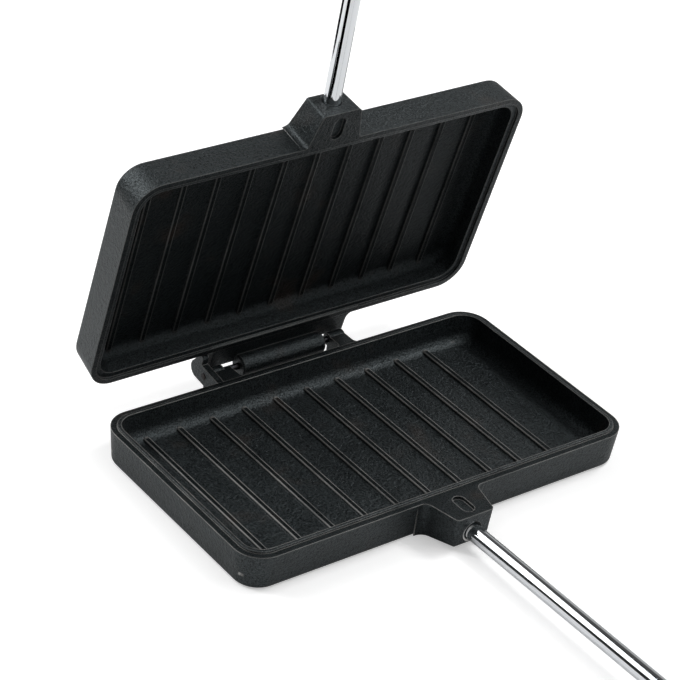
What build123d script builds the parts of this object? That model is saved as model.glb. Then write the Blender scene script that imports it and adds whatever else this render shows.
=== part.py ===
from build123d import *
import os
from math import atan, cos, degrees, radians, sin

# A double pie iron: two hinged cast-iron pans, each on its own steel rod with a turned wooden grip.
# Millimetres. X runs along the hinge, Y from the handles (-) to the hinge (+) and Z up.
# The origin is the middle of the lower pan's underside. The pans are drawn in a casting frame,
# with the parting plane at z = 0 and the metal above it, and are then turned into place.

# Pans, alike in both halves
pan_length = 216.0
pan_width = 120.0
pan_depth = 18.0
plan_radius = 13.5
wall_draft_angle = 5.2
base_edge_radius = 2.5
floor_thickness = 5.0
floor_fillet = 5.5
cavity_radius = 9.5
cavity_draft_angle = 5.0

# Lip round the lower pan and the step in the upper pan that drops over it
lip_setback = 3.05
lip_width = 1.65
lip_height = 1.0
lip_side_clearance = 0.35
lip_top_clearance = 0.3
lip_edge_radius = 0.3
upper_cavity_step = 0.5
parting_gap = 0.15

# Cooking ribs on both floors
rib_base_width = 3.6
rib_top_width = 2.4
rib_height = 1.5
rib_edge_radius = 0.45
rib_pitch = 18.0
rib_end_setback = 7.0
lower_rib_margins = (21.0, 30.0)
upper_rib_margins = (17.0, 17.0)

# Handle bosses
lower_boss_offset = 0.0
upper_boss_offset = -6.0
boss_reach = 17.3
boss_root_width = 28.5
boss_front_width = 20.4
boss_front_depth = 14.8
boss_draft_angle = 4.0
boss_corner_radius = 2.0
lower_root_radius = 3.6
upper_root_radius = 1.8
recess_length = 12.0
recess_width = 6.2
recess_depth = 1.8
recess_reach = 8.2
socket_depth = 15.5
spotface_diameter = 10.8
spotface_depth = 1.6

# Rods, measured outwards from the boss faces
rod_diameter = 8.0
rod_reach = 430.0
rod_axis_depth = 9.3
lower_rod_angle = 1.0
upper_rod_angle = 8.3
rod_end_gap = 0.5
screw_fit = 0.02
tang_diameter = 5.0

# Turned grips and their fittings
grip_length = 118.0
grip_diameter = 27.0
grip_waist_diameter = 21.5
grip_end_diameter = 23.0
grip_waist_reach = 11.5
grip_swell_setback = 34.7
grip_end_bevel = 3.0
grip_bore_clearance = 0.1
rod_seat_depth = 12.0
ferrule_length = 15.0
ferrule_diameter = 17.5
ferrule_thickness = 1.0
ferrule_fit = 0.05
washer_diameter = 14.0
washer_thickness = 1.2
nut_across_flats = 8.0
nut_height = 4.5
nut_dome_height = 2.5
nut_dome_radius = 2.0
nut_bore_run = 1.2

# Hinge
hinge_back = 11.3
hinge_drop = 3.0
pin_diameter = 3.2
pin_proud = 0.3
pin_running_clearance = 0.05
pin_drive_clearance = 0.02
barrel_diameter = 10.6
barrel_length = 48.0
barrel_chamfer = 0.8
neck_angle = 45.0
eye_diameter = 6.4
left_tab_outer = -43.5
left_tab_inner = -29.5
left_eye_inner = -33.5
right_tab_inner = 28.3
right_tab_outer = 37.0
tab_back_setback = 0.4
tab_left_flare = 0.8
tab_flare = 3.2
bracket_below_rim = 0.6
bracket_height = 8.4
bar_reach = 4.8
bar_height = 3.8
hook_width = 3.5
hook_reach = 22.0
hook_elbow_diameter = 9.2
hook_elbow_drop = 2.4
hook_tip_diameter = 3.8
hook_tip_height = 4.6
hook_tip_setback = 2.4
web_reach = 11.2
web_left = -38.5
web_right = 39.5
web_above_rim = 0.5
web_height = 7.7
web_shoulder_reach = 3.6
web_tip_height = 0.8
web_left_flare = 1.0
web_right_flare = 4.5

# The upper half is drawn closed and stored open by this angle
open_angle = 76.5

# How far cutters run past a face, how deep joined stock is buried in the wall, and how near two
# places count as one
overrun = 1.0
burial = 3.0
tolerance = 0.0001

rear_wall = pan_width / 2
front_wall = -pan_width / 2
boss_face = front_wall - boss_reach
cavity_depth = pan_depth - floor_thickness
hinge_y = rear_wall + hinge_back
lower_cavity_setback = lip_setback + lip_width
upper_cavity_setback = lower_cavity_setback + upper_cavity_step


def rim_outline(setback, corner):
    """Rounded rectangle a setback inside the pan's outer edge."""
    return RectangleRounded(pan_length - 2 * setback, pan_width - 2 * setback, corner)


def far_edges(solid):
    """Edges round the highest face."""
    return solid.faces().sort_by(Axis.Z)[-1].edges()


def outer_block():
    """Outside of one pan: walls drawn in by the draft, with a rounded edge round the base."""
    block = extrude(rim_outline(0, plan_radius), amount=pan_depth, taper=wall_draft_angle)
    return fillet(far_edges(block), base_edge_radius)


def cavity(setback, mouth):
    """Hollow of one pan with a rounded floor, run straight out of the mouth past the rim."""
    outline = rim_outline(setback, cavity_radius)
    hollow = extrude(outline, amount=cavity_depth, taper=cavity_draft_angle)
    hollow = fillet(far_edges(hollow), floor_fillet)
    return hollow + extrude(outline, amount=-mouth)


def ribs(margins):
    """Raised ribs with rounded ends, one pitch apart between the margins at the pan's two ends."""
    side = degrees(atan((rib_base_width - rib_top_width) / 2 / rib_height))
    outline = Rot(Z=90) * SlotOverall(pan_width - 2 * rib_end_setback, rib_base_width)
    rib = extrude(outline, amount=rib_height, taper=side)
    rib = fillet(far_edges(rib), rib_edge_radius)
    rib = Pos(0, 0, cavity_depth) * Rot(X=180) * rib
    count = int((pan_length - sum(margins)) // rib_pitch) + 1
    first = margins[0] - pan_length / 2
    return [Pos(first + rib_pitch * place, 0, 0) * rib for place in range(count)]


def near(vertices, y, x):
    """Vertices at plus and minus x from the boss centre, on one line of y."""
    return [v for v in vertices if abs(v.Y - y) < tolerance and abs(abs(v.X) - x) < tolerance]


def boss_block(offset, root_radius):
    """Handle boss: tapering sides that sweep into the wall, and an underside that rises outwards."""
    root = boss_root_width / 2
    front = boss_front_width / 2
    bar = root + root_radius + overrun
    outline = Polygon(
        (bar, front_wall + burial), (-bar, front_wall + burial), (-bar, front_wall), (-root, front_wall),
        (-front, boss_face), (front, boss_face), (root, front_wall), (bar, front_wall), align=None,
    )
    outline = fillet(near(outline.vertices(), front_wall, root), root_radius)
    outline = fillet(near(outline.vertices(), boss_face, front), boss_corner_radius)
    block = extrude(outline, amount=pan_depth, taper=boss_draft_angle)
    slope_start = front_wall + base_edge_radius
    slope_end = boss_face - overrun
    slope = (pan_depth - boss_front_depth) / (slope_start - boss_face)
    wedge = Polygon(
        (slope_start, pan_depth), (slope_end, pan_depth - slope * (slope_start - slope_end)),
        (slope_end, pan_depth + overrun), (slope_start, pan_depth + overrun), align=None,
    )
    block -= extrude(Plane.YZ * wedge, amount=bar + overrun, both=True)
    return Pos(offset, 0, 0) * block


def handle_frame(offset, angle):
    """Frame at the boss face whose Z runs out along the rod, tilted off the parting plane."""
    outwards = (0, -cos(radians(angle)), sin(radians(angle)))
    return Plane(origin=(offset, boss_face, rod_axis_depth), x_dir=(1, 0, 0), z_dir=outwards)


def up_cylinder(diameter, bottom, top):
    """Cylinder along Z between two heights."""
    return Pos(0, 0, bottom) * extrude(Circle(diameter / 2), amount=top - bottom)


def cone(bottom_diameter, top_diameter, bottom, top):
    """Cone along Z between two heights."""
    body = Cone(bottom_diameter / 2, top_diameter / 2, top - bottom)
    return Pos(0, 0, (bottom + top) / 2) * body


def boss_cutters(offset, angle):
    """Rod socket with its machined spot face, and the oblong recess in the parting face."""
    bore = rod_diameter + 2 * screw_fit
    socket = up_cylinder(bore, -socket_depth, boss_reach)
    spotface = cone(bore, spotface_diameter, -spotface_depth, 0)
    spotface = spotface + up_cylinder(spotface_diameter, 0, boss_reach)
    recess = Rot(Z=90) * SlotOverall(recess_length, recess_width)
    recess = extrude(Pos(offset, front_wall - recess_reach, -overrun) * recess, amount=recess_depth + overrun)
    frame = handle_frame(offset, angle)
    return [frame * socket, frame * spotface, recess]


def along_x(profile, left, right):
    """A profile drawn in Y and Z, run along X between two places."""
    return extrude(Plane.YZ.offset(left) * profile, amount=right - left)


def tab(left, right, flares, eye_left, eye_right):
    """Hinge tab: a level plate from the wall whose back carries a round eye for the pin."""
    bottom = -bracket_below_rim - bracket_height
    plate = flared_bar(left, right, hinge_back - tab_back_setback, flares, bottom, bracket_height)
    eye = Pos(hinge_y, -hinge_drop) * Circle(eye_diameter / 2)
    return plate + along_x(eye, eye_left, eye_right)


def hook_profile():
    """Side of the hook on the left tab: a plate to a round elbow, and a horn that leans forwards."""
    top = -bracket_below_rim
    bottom = top - bracket_height
    elbow_radius = hook_elbow_diameter / 2
    tip_radius = hook_tip_diameter / 2
    root = Polygon(
        (rear_wall - burial, top), (rear_wall - burial, bottom), (rear_wall + tip_radius, bottom),
        (rear_wall + tip_radius, top), align=None,
    )
    elbow = Pos(rear_wall + hook_reach - elbow_radius, -hook_elbow_drop) * Circle(elbow_radius)
    tip = Pos(rear_wall + hook_reach - elbow_radius - hook_tip_setback, hook_tip_height) * Circle(tip_radius)
    horn_root = Pos(rear_wall + hook_reach - 2 * tip_radius, -hook_elbow_drop) * Circle(2 * tip_radius)
    return make_hull((root + elbow).edges()) + make_hull((tip + horn_root).edges())


def hinge_bore(clearance):
    """Cutter for the pin, longer than the hinge."""
    bore = Pos(hinge_y, -hinge_drop) * Circle(pin_diameter / 2 + clearance)
    return along_x(bore, left_tab_outer - overrun, right_tab_outer + overrun)


def flared_bar(left, right, reach, flares, bottom, height):
    """Bar along the rear wall whose two ends sweep into the wall."""
    left_flare, right_flare = flares
    far_left = left - left_flare - overrun
    far_right = right + right_flare + overrun
    outline = Polygon(
        (far_left, rear_wall - burial), (far_right, rear_wall - burial), (far_right, rear_wall),
        (right, rear_wall), (right, rear_wall + reach), (left, rear_wall + reach), (left, rear_wall),
        (far_left, rear_wall), align=None,
    )
    for end, flare in ((left, left_flare), (right, right_flare)):
        root = outline.vertices().sort_by_distance((end, rear_wall, 0))[0]
        outline = fillet(root, flare)
    return extrude(Pos(0, 0, bottom) * outline, amount=height)


def lower_bracket():
    """Cast hinge behind the lower pan: two tabs for the pin, a hook and a low bar between them."""
    bottom = -bracket_below_rim - bracket_height
    side = Polygon(
        (rear_wall - burial, bottom), (rear_wall + bar_reach, bottom),
        (rear_wall + bar_reach, bottom + bar_height), (rear_wall - burial, bottom + bar_height), align=None,
    )
    bar = along_x(side, left_tab_inner - overrun, right_tab_inner + overrun)
    left_flares = (tab_left_flare, tab_flare)
    left_tab = tab(left_tab_outer, left_tab_inner, left_flares, left_tab_outer, left_eye_inner)
    right_flares = (tab_flare, tab_flare)
    right_tab = tab(right_tab_inner, right_tab_outer, right_flares, right_tab_inner, right_tab_outer)
    hook = along_x(hook_profile(), left_tab_outer, left_tab_outer + hook_width)
    bracket = bar + left_tab + right_tab + hook
    return bracket - hinge_bore(pin_drive_clearance)


def upper_bracket():
    """Cast web behind the upper pan, thinner towards its back edge, that carries the hinge barrel."""
    bottom = web_above_rim
    top = bottom + web_height
    shoulder = rear_wall + web_shoulder_reach
    back = rear_wall + web_reach
    web = flared_bar(web_left, web_right, web_reach, (web_left_flare, web_right_flare), bottom, web_height)
    side = Polygon(
        (rear_wall - burial, bottom), (back, bottom), (back, bottom + web_tip_height), (shoulder, top),
        (rear_wall - burial, top), align=None,
    )
    web &= along_x(side, web_left - web_left_flare - overrun, web_right + web_right_flare + overrun)
    axis_z = -hinge_drop - parting_gap
    roller_side = Pos(hinge_y, axis_z) * Circle(barrel_diameter / 2)
    half = barrel_length / 2
    roller = along_x(roller_side, -half, half)
    roller = chamfer(roller.edges().filter_by(GeomType.CIRCLE), barrel_chamfer)
    lean = barrel_diameter / 2 * cos(radians(neck_angle))
    neck_side = Polygon(
        (rear_wall, bottom), (hinge_y, bottom), (hinge_y + lean, axis_z + lean), (shoulder, top),
        (rear_wall, top), align=None,
    )
    neck = along_x(neck_side, barrel_chamfer - half, half - barrel_chamfer)
    bracket = web + roller + neck
    return bracket - Pos(0, 0, -parting_gap) * hinge_bore(pin_running_clearance)


def lower_pan():
    """Lower casting, turned the right way up to stand on its base."""
    lip = extrude(rim_outline(lip_setback, plan_radius - lip_setback), amount=-lip_height)
    lip_top = lip.faces().sort_by(Axis.Z)[0].edges()
    lip = fillet(lip_top, lip_edge_radius)
    casting = outer_block() + boss_block(lower_boss_offset, lower_root_radius) + lip
    casting -= cavity(lower_cavity_setback, lip_height + overrun)
    casting = casting + ribs(lower_rib_margins)
    casting = casting - boss_cutters(lower_boss_offset, -lower_rod_angle)
    casting = mirror(casting, about=Plane.XY) + lower_bracket()
    return Pos(0, 0, pan_depth) * casting


def upper_pan():
    """Upper casting in its closed place: a stepped rim that drops over the lip."""
    step_setback = lip_setback - lip_side_clearance
    step = rim_outline(step_setback, plan_radius - step_setback)
    step = extrude(step, amount=lip_height + lip_top_clearance) + extrude(step, amount=-overrun)
    casting = outer_block() + boss_block(upper_boss_offset, upper_root_radius)
    casting = casting - step - cavity(upper_cavity_setback, overrun)
    casting = casting + ribs(upper_rib_margins)
    casting = casting - boss_cutters(upper_boss_offset, upper_rod_angle)
    return casting + upper_bracket()


def rod():
    """Plated rod: its root screwed into the boss, its thin tang run through the grip to the nut."""
    body = up_cylinder(rod_diameter, -socket_depth + rod_end_gap, rod_reach + rod_seat_depth)
    tang_end = rod_reach + grip_length + washer_thickness + nut_height
    return body + up_cylinder(tang_diameter, rod_reach, tang_end)


def grip():
    """Turned wooden grip: a neck for the ferrule, a waist, a full palm swell and a rounded end."""
    neck = ferrule_diameter / 2 - ferrule_thickness - ferrule_fit
    shoulder = ferrule_length - ferrule_thickness
    waist = shoulder + grip_waist_reach
    swell = grip_length - grip_swell_setback
    with BuildPart() as turned:
        with BuildSketch(Plane.XZ):
            with BuildLine():
                Polyline((0, 0), (neck, 0), (neck, shoulder), (ferrule_diameter / 2, shoulder))
                Spline(
                    (ferrule_diameter / 2, shoulder), (grip_waist_diameter / 2, waist),
                    (grip_diameter / 2, swell), (grip_end_diameter / 2, grip_length - grip_end_bevel),
                )
                Polyline(
                    (grip_end_diameter / 2, grip_length - grip_end_bevel),
                    (grip_end_diameter / 2 - grip_end_bevel, grip_length), (0, grip_length), (0, 0),
                )
            make_face()
        revolve(axis=Axis.Z)
    body = turned.part
    seat = rod_seat_depth + grip_bore_clearance
    body -= up_cylinder(rod_diameter + 2 * grip_bore_clearance, -overrun, seat)
    body -= up_cylinder(tang_diameter + 2 * grip_bore_clearance, 0, grip_length + overrun)
    return Pos(0, 0, rod_reach + ferrule_thickness) * body


def ferrule():
    """Drawn steel cap over the grip's neck, with a hole for the rod."""
    shell = up_cylinder(ferrule_diameter, 0, ferrule_length)
    shell = fillet(shell.edges().sort_by(Axis.Z)[0], ferrule_thickness)
    inside = ferrule_diameter - 2 * ferrule_thickness
    shell -= up_cylinder(inside, ferrule_thickness, ferrule_length + overrun)
    shell -= up_cylinder(rod_diameter + 2 * grip_bore_clearance, -overrun, ferrule_length)
    return Pos(0, 0, rod_reach) * shell


def grip_end():
    """Height of the grip's outer end along the rod."""
    return rod_reach + ferrule_thickness + grip_length


def end_washer():
    """Plain washer between the grip's end and the nut."""
    bore = tang_diameter + 2 * grip_bore_clearance
    ring = up_cylinder(washer_diameter, 0, washer_thickness)
    ring -= up_cylinder(bore, -overrun, washer_thickness + overrun)
    return Pos(0, 0, grip_end()) * ring


def cap_nut():
    """Domed hexagon nut on the end of the tang."""
    flats = RegularPolygon(nut_across_flats / 2, 6, major_radius=False)
    body = extrude(flats, amount=nut_height)
    dome = up_cylinder(nut_across_flats, nut_height, nut_height + nut_dome_height)
    dome = fillet(dome.edges().sort_by(Axis.Z)[-1], nut_dome_radius)
    body = body + dome
    body -= up_cylinder(tang_diameter + 2 * screw_fit, -overrun, nut_height + nut_bore_run)
    return Pos(0, 0, grip_end() + washer_thickness) * body


def hinge_pin():
    """Steel pin through the barrel, driven into both tabs."""
    shank = Pos(hinge_y, -hinge_drop) * Circle(pin_diameter / 2)
    pin = along_x(shank, left_tab_outer - pin_proud, right_tab_outer + pin_proud)
    return Pos(0, 0, pan_depth) * pin


def lower_place(piece):
    """Carry a handle piece to the lower half."""
    placed = handle_frame(lower_boss_offset, -lower_rod_angle) * piece
    return Pos(0, 0, pan_depth) * mirror(placed, about=Plane.XY)


def opened(piece):
    """Set a piece of the closed upper half on the lower one and swing it open about the hinge."""
    closed = Pos(0, 0, pan_depth + parting_gap) * piece
    return closed.rotate(Axis((0, hinge_y, pan_depth - hinge_drop), (1, 0, 0)), -open_angle)


def upper_place(piece):
    """Carry a handle piece to the upper half."""
    return opened(handle_frame(upper_boss_offset, upper_rod_angle) * piece)


fittings = {
    "rod": rod(), "grip": grip(), "ferrule": ferrule(), "end_washer": end_washer(), "cap_nut": cap_nut(),
}
nodes = {"lower_pan": lower_pan(), "upper_pan": opened(upper_pan()), "hinge_pin": hinge_pin()}
for name, piece in fittings.items():
    nodes["lower_" + name] = lower_place(piece)
    nodes["upper_" + name] = upper_place(piece)

os.makedirs("parts", exist_ok=True)
for name, solid in nodes.items():
    export_step(solid, "parts/" + name + ".step")
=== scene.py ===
import bpy
from math import cos, radians, sin
from mathutils import Matrix, Vector

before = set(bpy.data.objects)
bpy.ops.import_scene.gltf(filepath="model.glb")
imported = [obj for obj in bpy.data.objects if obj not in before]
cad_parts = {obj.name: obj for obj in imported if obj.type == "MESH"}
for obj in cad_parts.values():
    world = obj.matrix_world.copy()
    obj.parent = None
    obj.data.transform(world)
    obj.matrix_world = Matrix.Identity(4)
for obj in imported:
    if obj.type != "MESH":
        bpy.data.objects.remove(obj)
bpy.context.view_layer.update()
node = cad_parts

# ---- Pans ---------------------------------------------------------------------------------------
# Two sand-cast iron pans, blackened and seasoned. The sand leaves a fine pebbled skin, coarser in the
# hollows. Thin, pale grey lines on the edges of rims and ribs are rubbed wear and painted highlights.

iron_black = (0.0022, 0.0032, 0.0036, 1)
iron_dusty = (0.0048, 0.0062, 0.0066, 1)
# The lower pan's dust colour, paler than the lid's as painted light: the pan's floor faces the lamps above.
iron_dust_pale_lit = (0.0080, 0.0100, 0.0106, 1)
# Pale grey of the lines on edges and ribs: rubbed wear and painted highlights.
iron_rubbed_and_highlit = (0.38, 0.37, 0.355, 1)
iron_gleam = (0.84, 0.96, 1.0, 1)
iron_bare = (0.72, 0.70, 0.68, 1)
iron_rusty = (0.020, 0.0125, 0.009, 1)
iron_rough = (0.28, 0.55)
iron_gloss = (0.12, 0.95)
grain_per_metre = 1500
grain_relief = 0.0004
grain_relief_strength = 0.8
grain_contrast = (0.4, 1.6)
pebble_per_metre = 620
pebble_relief = 0.00032
mottle_per_metre = 55
dust_mottle = (0.35, 0.7)
rust_mottle = (0.6, 0.72)
rust_share = 0.6
line_mottle = (0.3, 0.6)
least_line = 0.45
noise_middle = (0.3, 0.7)
noise_most = (0.25, 0.75)
edge_round_width = 0.0007
edge_line_turn = (0.025, 0.11)
hollow_edge_line = 0.1
core_gloss = 0.3
rim_gloss = 0.55
socket_z = 0.0087
machined_radius = 0.005
machined_fade = (0.0003, 0.0005)
machined_y = -0.0759
machined_depth = (0.001, 0.0012)
machined_left = (-0.003, 0.0)
rib_pitch = 0.018
rib_edge_place = 0.00113
rib_line_width = 0.00026
rib_line_full = 0.4
rib_core_width = 0.0008
rib_core_full = 0.8
rib_top_fade = (0.0006, 0.0009)
rib_half_length = 0.053
rib_end_fade = 0.002
rib_tip_setback = 0.0012
rib_tip_fade = (0.0004, 0.001)
rib_tip_width = (0.0006, 0.0013)
rim_above_ribs = 0.0115
rim_fade = (0.0001, 0.0002)
hollow_half_length = 0.1025
hollow_fade = 0.003
hollow_reach = (0.003, 0.005)
lower_first_rib = -0.08712
lower_rib_top = 0.0065
upper_first_rib = -0.09112
upper_rib_top = 0.02965
open_angle = radians(76.5)
hinge_y = 0.0713
hinge_z = 0.015


def node_adder(tree):
    """A helper that adds linked nodes to a tree."""

    def add(kind, links=(), **settings):
        """One node: settings are its properties, links are pairs of its input and what feeds it."""
        item = tree.nodes.new(kind)
        for key, value in settings.items():
            setattr(item, key, value)
        for socket, source in links:
            if isinstance(source, bpy.types.NodeSocket):
                tree.links.new(source, item.inputs[socket])
            else:
                item.inputs[socket].default_value = source
        return item

    return add


def new_material(name):
    """A material with node links, its Principled shader, and helpers that add nodes and feed it."""
    material = bpy.data.materials.new(name)
    material.use_nodes = True
    tree = material.node_tree
    shader = tree.nodes["Principled BSDF"]

    def feed(socket, source):
        """Links a source to an input of the shader."""
        tree.links.new(source, shader.inputs[socket])

    return material, shader, node_adder(tree), feed


def set_sockets(shader, **values):
    """Constant values on the shader's own sockets, with _ for a space in the socket's name."""
    for name, value in values.items():
        shader.inputs[name.replace("_", " ")].default_value = value


def ramp(add, source, low, high, low_colour=(0, 0, 0, 1), high_colour=(1, 1, 1, 1)):
    """A colour ramp between two stops."""
    item = add("ShaderNodeValToRGB", [("Fac", source)])
    item.color_ramp.elements[0].position = low
    item.color_ramp.elements[1].position = high
    item.color_ramp.elements[0].color = low_colour
    item.color_ramp.elements[1].color = high_colour
    return item.outputs["Color"]


def math(add, operation, first, second=0.0):
    """One maths node."""
    return add("ShaderNodeMath", [(0, first), (1, second)], operation=operation).outputs[0]


def spread(add, source, low, high, bottom, top):
    """Maps a source between two values to between two others."""
    links = [("Value", source), ("From Min", low), ("From Max", high), ("To Min", bottom), ("To Max", top)]
    return add("ShaderNodeMapRange", links).outputs["Result"]


def ramp_down(add, source, low, high):
    """One below the low value, falling to zero at the high value."""
    return spread(add, source, low, high, 1.0, 0.0)


def where(add, mask, value):
    """One off a mask, and the value on it."""
    return spread(add, mask, 0.0, 1.0, 1.0, value)


def mix(add, share, first, second):
    """Two colours mixed by a share."""
    links = [(0, share), (6, first), (7, second)]
    return add("ShaderNodeMix", links, data_type="RGBA").outputs[2]


def scaled(add, colour, amount):
    """A colour made brighter or darker."""
    return add("ShaderNodeVectorMath", [(0, colour), ("Scale", amount)], operation="SCALE").outputs[0]


def noise(add, place, per_metre, detail):
    """Noise of a given fineness."""
    links = [("Vector", place), ("Scale", per_metre), ("Detail", detail)]
    return add("ShaderNodeTexNoise", links).outputs["Fac"]


def distance_off(add, place, direction, middle):
    """Distance of a place from a plane, given by its normal and its distance from the origin."""
    level = add("ShaderNodeVectorMath", [(0, place), (1, direction)], operation="DOT_PRODUCT")
    return math(add, "ABSOLUTE", math(add, "SUBTRACT", level.outputs["Value"], middle))


def rib_masks(add, place, first, across, middle, normal, height, rim):
    """Masks of the ribs' pale edge lines (rubbed wear and painted highlights), of the ribs' middles, of the
    hollow's floor and of the rim.

    The ribs stand one pitch apart in X. The floor's normal and two heights along it place their tops
    and the rim, and the direction across with its middle places their ends.
    """
    along = add("ShaderNodeSeparateXYZ", [(0, place)]).outputs["X"]
    near = math(add, "PINGPONG", math(add, "SUBTRACT", along, first), rib_pitch / 2)
    edge = math(add, "ABSOLUTE", math(add, "SUBTRACT", near, rib_edge_place))
    line = ramp_down(add, edge, rib_line_width * rib_line_full, rib_line_width)
    core = ramp_down(add, near, rib_core_width * rib_core_full, rib_core_width)
    off_top = distance_off(add, place, normal, height)
    off_middle = distance_off(add, place, across, middle)
    top = ramp_down(add, off_top, *rib_top_fade)
    inside = ramp_down(add, off_middle, rib_half_length - rib_end_fade, rib_half_length)
    on_rib = math(add, "MULTIPLY", top, inside)
    # Each rib's ends get a pale spot, a painted highlight where the rib runs into the fillet.
    from_end = math(add, "ABSOLUTE", math(add, "SUBTRACT", off_middle, rib_half_length - rib_tip_setback))
    tip_along = ramp_down(add, from_end, *rib_tip_fade)
    tip = math(add, "MULTIPLY", tip_along, ramp_down(add, near, *rib_tip_width))
    line = math(add, "MAXIMUM", line, tip)
    side = ramp_down(add, off_middle, rib_half_length, rib_half_length + hollow_fade)
    side = math(add, "MULTIPLY", side, ramp_down(add, off_top, *hollow_reach))
    ends = ramp_down(add, math(add, "ABSOLUTE", along), hollow_half_length - hollow_fade, hollow_half_length)
    hollow = math(add, "MULTIPLY", side, ends)
    on_rim = ramp_down(add, distance_off(add, place, normal, rim), *rim_fade)
    return math(add, "MULTIPLY", line, on_rib), math(add, "MULTIPLY", core, on_rib), hollow, on_rim


def machined_ring(add, place):
    """Mask of bare machined iron inside the lower boss's spotface, kept to a crescent on its left as a
    painted highlight.
    """
    axes = add("ShaderNodeSeparateXYZ", [(0, place)]).outputs
    across = math(add, "POWER", axes["X"], 2.0)
    up = math(add, "POWER", math(add, "SUBTRACT", axes["Z"], socket_z), 2.0)
    radius = math(add, "SQRT", math(add, "ADD", across, up))
    off_ring = math(add, "ABSOLUTE", math(add, "SUBTRACT", radius, machined_radius))
    depth = math(add, "ABSOLUTE", math(add, "SUBTRACT", axes["Y"], machined_y))
    ring = ramp_down(add, off_ring, *machined_fade)
    inside = math(add, "MULTIPLY", ring, ramp_down(add, depth, *machined_depth))
    # Only the left side is kept: the crescent is a painted highlight.
    return math(add, "MULTIPLY", inside, ramp_down(add, axes["X"], *machined_left))


def cast_iron(name, dust_and_light, ribs, edge_wear_and_highlight, hollow_gloss, rib_wear_and_highlight):
    """Seasoned sand-cast iron: pebbled black skin, with pale edge lines that are rubbed wear and painted
    highlights.
    """
    material, shader, add, feed = new_material(name)
    place = add("ShaderNodeTexCoord").outputs["Object"]
    grain = noise(add, place, grain_per_metre, 3.0)
    pebble = noise(add, place, pebble_per_metre, 2.0)
    mottle = noise(add, place, mottle_per_metre, 5.0)
    soft = add("ShaderNodeBevel", [("Radius", edge_round_width)], samples=6).outputs[0]
    sharp = add("ShaderNodeNewGeometry").outputs["Normal"]
    facing = add("ShaderNodeVectorMath", [(0, soft), (1, sharp)], operation="DOT_PRODUCT")
    turned = math(add, "SUBTRACT", 1.0, facing.outputs["Value"])
    lines, cores, hollow, on_rim = rib_masks(add, place, *ribs)
    # Pale lines along edges and ribs: rubbed wear and painted highlights, weaker in the hollow.
    edges = spread(add, turned, *edge_line_turn, 0.0, edge_wear_and_highlight)
    edges = math(add, "MULTIPLY", edges, where(add, hollow, hollow_edge_line))
    wear_and_highlight = math(add, "MAXIMUM", edges, math(add, "MULTIPLY", lines, rib_wear_and_highlight))
    rubbed_and_highlit = math(add, "MULTIPLY", wear_and_highlight, spread(add, mottle, *line_mottle, least_line, 1.0))
    skin = ramp(add, mottle, *dust_mottle, iron_black, dust_and_light)
    skin = mix(add, spread(add, mottle, *rust_mottle, 0.0, rust_share), skin, iron_rusty)
    skin = scaled(add, skin, spread(add, grain, *noise_middle, *grain_contrast))
    bare = machined_ring(add, place)
    feed("Base Color", mix(add, bare, mix(add, rubbed_and_highlit, skin, iron_rubbed_and_highlit), iron_bare))
    feed("Metallic", bare)
    feed("Roughness", spread(add, grain, *noise_most, *iron_rough))
    gloss = spread(add, grain, *noise_middle, *iron_gloss)
    gloss = math(add, "MULTIPLY", gloss, where(add, cores, core_gloss))
    gloss = math(add, "MULTIPLY", gloss, where(add, on_rim, rim_gloss))
    gloss = math(add, "MULTIPLY", gloss, where(add, hollow, hollow_gloss))
    feed("Specular IOR Level", gloss)
    set_sockets(shader, Specular_Tint=iron_gleam)
    coarse = [("Height", pebble), ("Strength", 1.0), ("Distance", pebble_relief), ("Normal", soft)]
    coarse = add("ShaderNodeBump", coarse).outputs[0]
    fine = [("Height", grain), ("Strength", grain_relief_strength), ("Distance", grain_relief)]
    feed("Normal", add("ShaderNodeBump", fine + [("Normal", coarse)]).outputs[0])
    return material


def finish_node(name, material):
    """Puts one material on a CAD node."""
    slots = node[name].data.materials
    slots.clear()
    slots.append(material)


opened_up = (0, sin(open_angle), cos(open_angle))
opened_rib_top = upper_rib_top - hinge_z + hinge_y * opened_up[1] + hinge_z * opened_up[2]
opened_across = (0, cos(open_angle), -sin(open_angle))
opened_middle = hinge_y * opened_across[1] + hinge_z * opened_across[2] - hinge_y
opened_rim = opened_rib_top - rim_above_ribs
lower_rim = lower_rib_top + rim_above_ribs
lower_ribs = (lower_first_rib, (0, 1, 0), 0.0, (0, 0, 1), lower_rib_top, lower_rim)
upper_ribs = (upper_first_rib, opened_across, opened_middle, opened_up, opened_rib_top, opened_rim)
# The lid's pale lines are weaker than the pan's as painted shade, since the lid lies in shade.
lower_wear_and_light = {"edge_wear_and_highlight": 1.0, "hollow_gloss": 1.0, "rib_wear_and_highlight": 0.85}
upper_wear_and_light = {"edge_wear_and_highlight": 0.4, "hollow_gloss": 0.4, "rib_wear_and_highlight": 0.22}
# The lower pan gets the paler dust colour as painted light; the lid, facing away from the lamps above, gets
# the darker one.
finish_node("lower_pan", cast_iron("cast_iron_lower", iron_dust_pale_lit, lower_ribs, **lower_wear_and_light))
finish_node("upper_pan", cast_iron("cast_iron_upper", iron_dusty, upper_ribs, **upper_wear_and_light))

# ---- Rods ---------------------------------------------------------------------------------------
# Two 8 mm steel rods, polished and chrome plated, screwed into the bosses of the pans. The plating is
# bright, with a slight haze.

chrome_tint = (0.76, 0.78, 0.80, 1)
chrome_rough = (0.03, 0.08)
haze_per_metre = 40


def chrome():
    """Bright plating, hazed a little in patches."""
    material, shader, add, feed = new_material("rod_chrome")
    place = add("ShaderNodeTexCoord").outputs["Object"]
    haze = noise(add, place, haze_per_metre, 4.0)
    feed("Roughness", spread(add, haze, 0.0, 1.0, *chrome_rough))
    set_sockets(shader, Base_Color=chrome_tint, Metallic=1.0)
    return material


plated = chrome()
for name in ("lower_rod", "upper_rod"):
    finish_node(name, plated)

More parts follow.
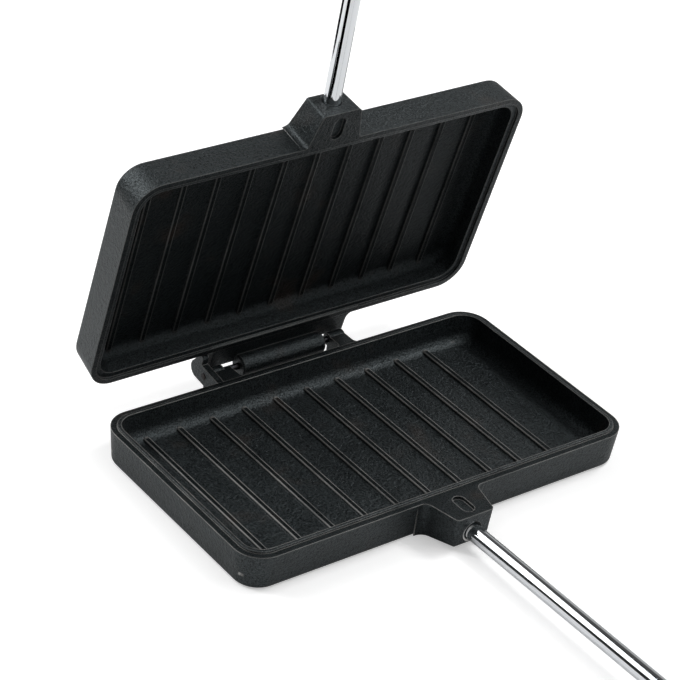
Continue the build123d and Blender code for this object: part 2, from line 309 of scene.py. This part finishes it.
# ---- Hinge pin, ferrules, washers and nuts --------------------------------------------------------
# The pin is blued steel, driven into the arms and stained by smoke. The ferrules are drawn and nickel
# plated; the washers and nuts are zinc plated, with slightly yellow stains. All have fine marks.

pin_tint = (0.05, 0.052, 0.058, 1)
nickel_tint = (0.62, 0.60, 0.56, 1)
nickel_stain = (0.40, 0.37, 0.33, 1)
zinc_tint = (0.60, 0.61, 0.62, 1)
zinc_stain = (0.44, 0.42, 0.36, 1)
pin_rough = (0.35, 0.5)
nickel_rough = (0.16, 0.3)
zinc_rough = (0.24, 0.4)
marks_per_metre = 1500
marks_relief = 0.00012
marks_relief_strength = 0.25
marks_along_pin = (0.2, 1, 1)
stains_per_metre = 130
stain_edge = (0.42, 0.68)
stain_dulls = (0.5, 0.7)
stain_dulling = 0.12


def metal(name, bright, stained, rough, mark_stretch=(1, 1, 1)):
    """Worn metal: stains that dull it, and fine marks drawn out along the stretched axes."""
    material, shader, add, feed = new_material(name)
    place = add("ShaderNodeTexCoord").outputs["Object"]
    drawn = add("ShaderNodeMapping", [("Vector", place), ("Scale", mark_stretch)]).outputs[0]
    marks = noise(add, drawn, marks_per_metre, 3.0)
    stains = noise(add, place, stains_per_metre, 5.0)
    feed("Base Color", ramp(add, stains, *stain_edge, bright, stained))
    dulled = spread(add, stains, *stain_dulls, 0.0, stain_dulling)
    feed("Roughness", math(add, "ADD", spread(add, marks, *noise_middle, *rough), dulled))
    relief = [("Height", marks), ("Strength", marks_relief_strength), ("Distance", marks_relief)]
    feed("Normal", add("ShaderNodeBump", relief).outputs[0])
    set_sockets(shader, Metallic=1.0)
    return material


finish_node("hinge_pin", metal("pin_blued", pin_tint, iron_rusty, pin_rough, marks_along_pin))
nickel = metal("ferrule_nickel", nickel_tint, nickel_stain, nickel_rough)
zinc = metal("zinc_plate", zinc_tint, zinc_stain, zinc_rough)
for half in ("lower_", "upper_"):
    finish_node(half + "ferrule", nickel)
    finish_node(half + "end_washer", zinc)
    finish_node(half + "cap_nut", zinc)

# ---- Grips --------------------------------------------------------------------------------------
# Turned beech, stained warm brown and oiled, slid over the rods' tangs. The grain runs along each grip,
# short dark flecks lie in it, and hands have darkened it in patches.

beech_pale = (0.36, 0.185, 0.085, 1)
beech_deep = (0.20, 0.088, 0.036, 1)
beech_fleck = (0.075, 0.032, 0.015, 1)
growth_per_metre = 260
growth_edge = (0.36, 0.64)
fibre_per_metre = 1300
fibre_relief = 0.00025
fibre_relief_strength = 0.35
fibre_shade = (0.8, 1.15)
fleck_per_metre = 700
fleck_edge = (0.12, 0.22)
fleck_depth = 0.7
handled_per_metre = 45
handled_edge = (0.35, 0.65)
handled_shade = (1.1, 0.72)
handled_rough = (0.48, 0.3)
grain_stretch = 0.045
oil_coat = 0.18
oil_rough = 0.25
lower_rod_rise = radians(1.0)
upper_rod_rise = radians(8.3)


def wood(name, tilt):
    """Straight grain along a grip whose axis is tilted up from Y."""
    material, shader, add, feed = new_material(name)
    place = add("ShaderNodeTexCoord").outputs["Object"]
    links = [("Vector", place), ("Angle", tilt)]
    level = add("ShaderNodeVectorRotate", links, rotation_type="X_AXIS").outputs[0]
    stretch = (1.0, grain_stretch, 1.0)
    drawn = add("ShaderNodeMapping", [("Vector", level), ("Scale", stretch)]).outputs[0]
    growth = noise(add, drawn, growth_per_metre, 3.0)
    fibre = noise(add, drawn, fibre_per_metre, 2.0)
    fleck = add("ShaderNodeTexVoronoi", [("Vector", drawn), ("Scale", fleck_per_metre)]).outputs["Distance"]
    handled = noise(add, place, handled_per_metre, 4.0)
    pores = math(add, "MULTIPLY", ramp_down(add, fleck, *fleck_edge), fleck_depth)
    colour = mix(add, pores, ramp(add, growth, *growth_edge, beech_deep, beech_pale), beech_fleck)
    darkened = spread(add, handled, *handled_edge, *handled_shade)
    shade = math(add, "MULTIPLY", spread(add, fibre, *noise_middle, *fibre_shade), darkened)
    feed("Base Color", scaled(add, colour, shade))
    feed("Roughness", spread(add, handled, *handled_edge, *handled_rough))
    relief = [("Height", fibre), ("Strength", fibre_relief_strength), ("Distance", fibre_relief)]
    feed("Normal", add("ShaderNodeBump", relief).outputs[0])
    set_sockets(shader, Coat_Weight=oil_coat, Coat_Roughness=oil_rough)
    return material


finish_node("lower_grip", wood("grip_wood_lower", lower_rod_rise))
finish_node("upper_grip", wood("grip_wood_upper", open_angle + upper_rod_rise))

# ---- Studio -------------------------------------------------------------------------------------
# A white table in a white room, lit by five soft boxes. In reflections the room is nearly black on the
# left and pale low on the right and in front, and two black cards on the table darken more of them.

floor_white = (0.86, 0.86, 0.86, 1)
floor_glow = 0.40
floor_far_glow = 0.82
floor_glow_reach = (0.8, 2.4)
floor_size = 60.0
card_height = 0.002
card_left = ((-0.27, 0.03), (-0.21, -0.12), (-1.18, -0.95), (-1.485, -0.02))
card_back = ((-0.29, 0.34), (-1.1, 1.2), (0.2, 1.8), (0.0, 0.5))
room_fill = 0.22
room_mirror_left = 0.03
room_mirror_right = 0.42
room_mirror_front = 0.3
room_right_edge = (0.0, 0.3)
room_low_edge = (0.45, 0.6)
room_high_share = 0.2
room_front_edge = (-0.15, -0.5)
iron_middle = (0, 0, 0.05)
camera_place = (-0.621893, -0.693832, 0.644500)
camera_azimuth = -40.714
camera_elevation = 32.062
camera_roll = 7.714
focal_length = 130.20
sensor_width = 36.0


def aim_camera():
    """Camera looking along its azimuth and elevation, rolled about its own line of sight."""
    azimuth, elevation, roll = map(radians, (camera_azimuth, camera_elevation, camera_roll))
    ahead = Vector((-sin(azimuth) * cos(elevation), cos(azimuth) * cos(elevation), -sin(elevation)))
    level = ahead.cross(Vector((0, 0, 1))).normalized()
    above = level.cross(ahead)
    right = cos(roll) * level + sin(roll) * above
    up = -sin(roll) * level + cos(roll) * above
    data = bpy.data.cameras.new("camera")
    data.lens = focal_length
    data.sensor_width = sensor_width
    camera = bpy.data.objects.new("camera", data)
    turn = Matrix((right, up, -ahead)).transposed().to_4x4()
    camera.matrix_world = Matrix.Translation(camera_place) @ turn
    bpy.context.scene.collection.objects.link(camera)
    bpy.context.scene.camera = camera


def soft_light(name, place, aim, size, power):
    """A square soft box that faces the point it is aimed at, in metres and watts."""
    data = bpy.data.lights.new(name, "AREA")
    data.size = size
    data.energy = power
    lamp = bpy.data.objects.new(name, data)
    lamp.location = place
    lamp.rotation_euler = (Vector(aim) - Vector(place)).to_track_quat("-Z", "Y").to_euler()
    bpy.context.scene.collection.objects.link(lamp)


def floor():
    """White table top that glows where the camera sees it, more so far from the iron."""
    half = floor_size / 2
    mesh = bpy.data.meshes.new("table_top")
    corners = [(-half, -half, 0), (half, -half, 0), (half, half, 0), (-half, half, 0)]
    mesh.from_pydata(corners, [], [(0, 1, 2, 3)])
    top = bpy.data.objects.new("table_top", mesh)
    bpy.context.scene.collection.objects.link(top)
    material, shader, add, feed = new_material("table_white")
    set_sockets(shader, Base_Color=floor_white, Roughness=0.9, Emission_Color=(1, 1, 1, 1))
    place = add("ShaderNodeTexCoord").outputs["Object"]
    away = add("ShaderNodeVectorMath", [(0, place)], operation="LENGTH").outputs["Value"]
    glow = spread(add, away, *floor_glow_reach, floor_glow, floor_far_glow)
    seen = add("ShaderNodeLightPath").outputs["Is Camera Ray"]
    feed("Emission Strength", math(add, "MULTIPLY", seen, glow))
    mesh.materials.append(material)


def black_card(name, corners):
    """Black card on the table that only shiny surfaces see; it darkens part of their reflections."""
    mesh = bpy.data.meshes.new(name)
    mesh.from_pydata([(x, y, card_height) for x, y in corners], [], [(0, 1, 2, 3)])
    card = bpy.data.objects.new(name, mesh)
    bpy.context.scene.collection.objects.link(card)
    material, shader, add, feed = new_material(name)
    set_sockets(shader, Base_Color=(0, 0, 0, 1), Specular_IOR_Level=0.0, Roughness=1.0)
    mesh.materials.append(material)
    card.visible_camera = card.visible_diffuse = card.visible_shadow = card.visible_transmission = False


def surround():
    """White where it is seen; in reflections dark to the left, pale low on the right and in front."""
    world = bpy.data.worlds.new("surround")
    world.use_nodes = True
    tree = world.node_tree
    add = node_adder(tree)
    back = tree.nodes["Background"]
    back.inputs["Color"].default_value = (1, 1, 1, 1)
    heading = add("ShaderNodeSeparateXYZ", [(0, add("ShaderNodeTexCoord").outputs["Generated"])]).outputs
    right = spread(add, heading["X"], *room_right_edge, room_mirror_left, room_mirror_right)
    high = spread(add, heading["Z"], *room_low_edge, 1.0, room_high_share)
    near = spread(add, heading["Y"], *room_front_edge, 0.0, room_mirror_front)
    mirrored = math(add, "ADD", math(add, "MULTIPLY", right, high), near)
    path = add("ShaderNodeLightPath").outputs
    level = add("ShaderNodeMix", [(0, path["Is Glossy Ray"]), (2, room_fill), (3, mirrored)]).outputs[0]
    final = add("ShaderNodeMix", [(0, path["Is Camera Ray"]), (2, level), (3, 1.0)]).outputs[0]
    tree.links.new(final, back.inputs["Strength"])
    bpy.context.scene.world = world


floor()
black_card("card_left", card_left)
black_card("card_back", card_back)
surround()
soft_light("back_left", place=(-0.5, 0.84, 0.88), aim=iron_middle, size=1.2, power=9)
soft_light("corner_glint", place=(-0.77, 0.72, 0.87), aim=(-0.1, 0.1, 0.1), size=0.25, power=4)
soft_light("fillet_glint", place=(0.68, -0.06, 1.03), aim=(0, 0.03, 0.03), size=0.35, power=5)
soft_light("above", place=(0.35, -0.35, 1.35), aim=iron_middle, size=0.9, power=4)
soft_light("front_right", place=(0.9, -0.95, 0.95), aim=iron_middle, size=0.7, power=1.5)
aim_camera()
bpy.context.scene.view_settings.view_transform = "Standard"
